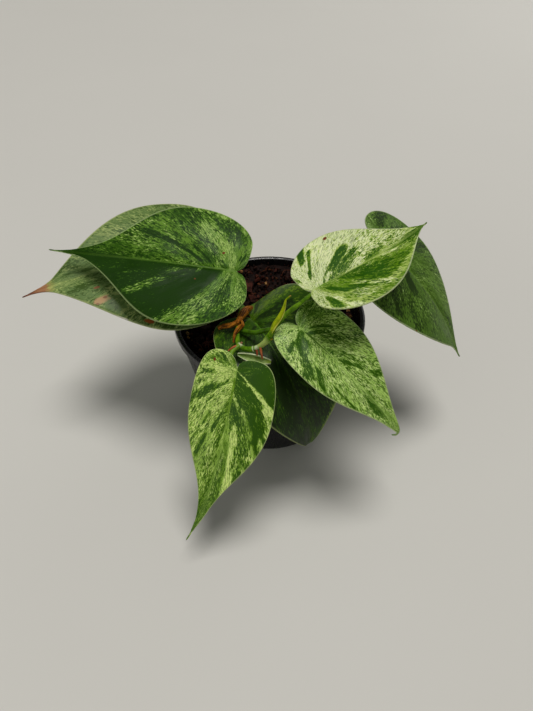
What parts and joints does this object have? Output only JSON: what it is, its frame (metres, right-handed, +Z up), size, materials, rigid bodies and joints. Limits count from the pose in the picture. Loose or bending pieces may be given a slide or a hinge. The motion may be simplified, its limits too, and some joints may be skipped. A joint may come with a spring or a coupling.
{
  "type": "potted heartleaf philodendron",
  "caption": "Potted variegated heartleaf philodendron: marbled heart-shaped leaves on a short leaning vine, in a round tapered black nursery pot filled with bark mix.",
  "frame": {"origin": "middle of the pot's flat underside, on the surface that it stands on", "axes": "+Z up along the pot's axis; +X to the right and +Y to the back as the plant is seen from the front, where the longest spread of leaves runs along X"},
  "size_m": [0.2046, 0.1412, 0.1127],
  "materials": {
    "pot_plastic": "gloss",
    "bark_mix": "matte",
    "stem_green": "satin",
    "leaf_upper_left": "satin",
    "leaf_lower_left": "satin",
    "leaf_upper_right": "satin",
    "leaf_rear_right": "satin",
    "leaf_centre_right": "satin",
    "leaf_front": "satin",
    "leaf_rim": "satin",
    "shoot_yellow": "satin",
    "sheath_green": "satin",
    "sheath_brown": "matte"
  },
  "bodies": {
    "root": {"pot": "pot_plastic", "potting_mix": "bark_mix", "main_stem": "stem_green", "leaf_upper_left": "leaf_upper_left", "leaf_lower_left": "leaf_lower_left", "leaf_upper_right": "leaf_upper_right", "leaf_rear_right": "leaf_rear_right", "leaf_centre_right": "leaf_centre_right", "leaf_front": "leaf_front", "leaf_rim": "leaf_rim", "new_shoot": "shoot_yellow", "green_sheath": "sheath_green", "dried_sheath": "sheath_brown"}
  },
  "joints": []
}
